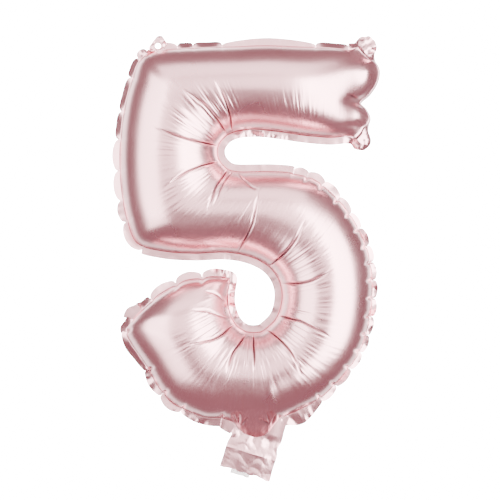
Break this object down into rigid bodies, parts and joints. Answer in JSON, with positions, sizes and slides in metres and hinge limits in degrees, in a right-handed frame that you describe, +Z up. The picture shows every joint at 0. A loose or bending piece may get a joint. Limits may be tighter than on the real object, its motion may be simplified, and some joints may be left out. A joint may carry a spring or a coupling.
{
  "type": "balloon",
  "caption": "Air-filled satin pink foil balloon shaped as the figure 5, with a hanging tab and a filling tail",
  "frame": {"origin": "centre of the hanging eyelet, on the middle plane of the seal", "axes": "+Z up along the figure's height, -Y out of its front, +X to the right as it reads from the front"},
  "size_m": [0.2353, 0.075, 0.3908],
  "materials": {
    "foil": "satin metallised film, pale rose",
    "valve_film": "clear polyethylene film"
  },
  "bodies": {
    "envelope": {"front_foil": "foil", "rear_foil": "foil", "valve_neck_front": "valve_film", "valve_neck_rear": "valve_film"},
    "tab": {"hanging_tab": "foil"},
    "tail": {"tail_front_foil": "foil", "tail_rear_foil": "foil", "valve_inlet_front": "valve_film", "valve_inlet_rear": "valve_film"},
    "valve_front": {"valve_leaf_front": "valve_film"},
    "valve_rear": {"valve_leaf_rear": "valve_film"}
  },
  "joints": [
    {"name": "tab_fold", "type": "hinge", "parent": "envelope", "child": "tab", "pos_m": [-0.00099, 0, -0.00344], "axis": [0.9805, 0, 0.1966], "range_deg": [-75, 75], "stiffness_Nm_per_rad": 0.0003},
    {"name": "tail_fold", "type": "hinge", "parent": "envelope", "child": "tail", "pos_m": [0.08161, 0, -0.35835], "axis": [0.9563, 0, -0.2924], "range_deg": [-105, 105]},
    {"name": "valve_front_open", "type": "hinge", "parent": "envelope", "child": "valve_front", "pos_m": [0.09009, 0, -0.33061], "axis": [0.9563, 0, -0.2924], "range_deg": [0, 10], "stiffness_Nm_per_rad": 0.0002},
    {"name": "valve_rear_open", "type": "hinge", "parent": "envelope", "child": "valve_rear", "pos_m": [0.09009, 0, -0.33061], "axis": [-0.9563, 0, 0.2924], "range_deg": [0, 10], "stiffness_Nm_per_rad": 0.0002}
  ]
}
